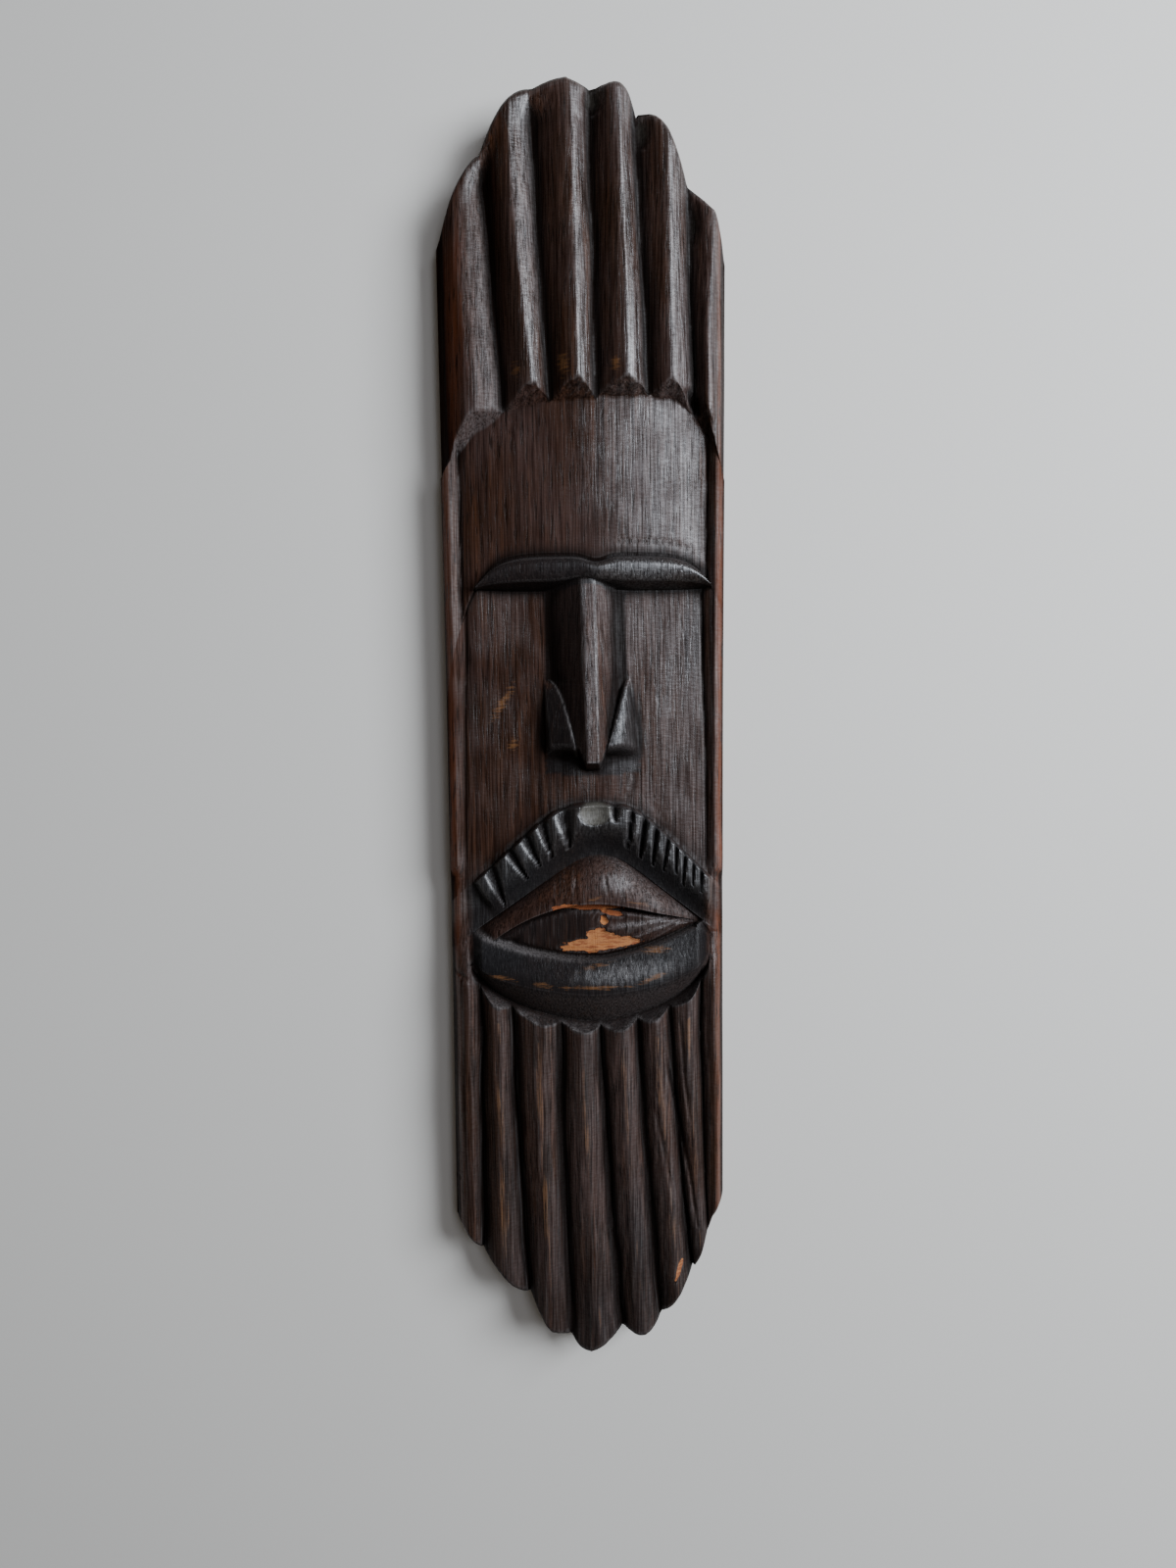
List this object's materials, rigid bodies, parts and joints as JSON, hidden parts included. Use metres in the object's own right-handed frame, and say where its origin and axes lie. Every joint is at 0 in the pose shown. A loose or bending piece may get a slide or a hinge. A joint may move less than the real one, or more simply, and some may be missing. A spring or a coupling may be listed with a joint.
{
  "type": "african wall mask",
  "caption": "Long carved wooden wall mask with fluted hair, a straight brow, a narrow nose, a toothed moustache, full lips and a fluted beard, flat at the back.",
  "frame": {"origin": "middle of the flat back, at the centre of the mask's bounding box, with the mask lying on its back", "axes": "+Z out of the carved face, +Y along the length towards the hair, +X to the viewer's right"},
  "size_m": [0.1108, 0.5, 0.03],
  "materials": {
    "dark_stained_hardwood": "dark brown stain under a thin worn wax polish, satin"
  },
  "bodies": {
    "root": {"carved_mask": "dark_stained_hardwood"}
  },
  "joints": []
}
